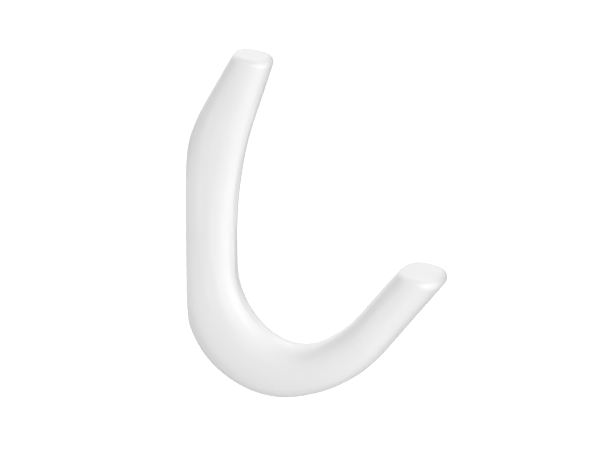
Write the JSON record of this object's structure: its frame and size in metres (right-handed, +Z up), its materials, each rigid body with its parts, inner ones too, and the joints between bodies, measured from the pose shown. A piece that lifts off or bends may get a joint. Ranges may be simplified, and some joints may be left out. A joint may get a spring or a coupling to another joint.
{
  "type": "coat hook",
  "caption": "One-piece cast coat hook with a leaning upper prong, a flat-backed stem and a round bowl that runs into a straight front arm.",
  "frame": {"origin": "mouth of the screw hole, in the flat back of the stem", "axes": "+X out from the wall towards the front arm, +Y across the hook, +Z up to the upper prong"},
  "size_m": [0.0747, 0.0114, 0.0968],
  "materials": {
    "white_coat": "smooth satin white powder coat over cast metal"
  },
  "bodies": {
    "root": {"hook": "white_coat"}
  },
  "joints": []
}
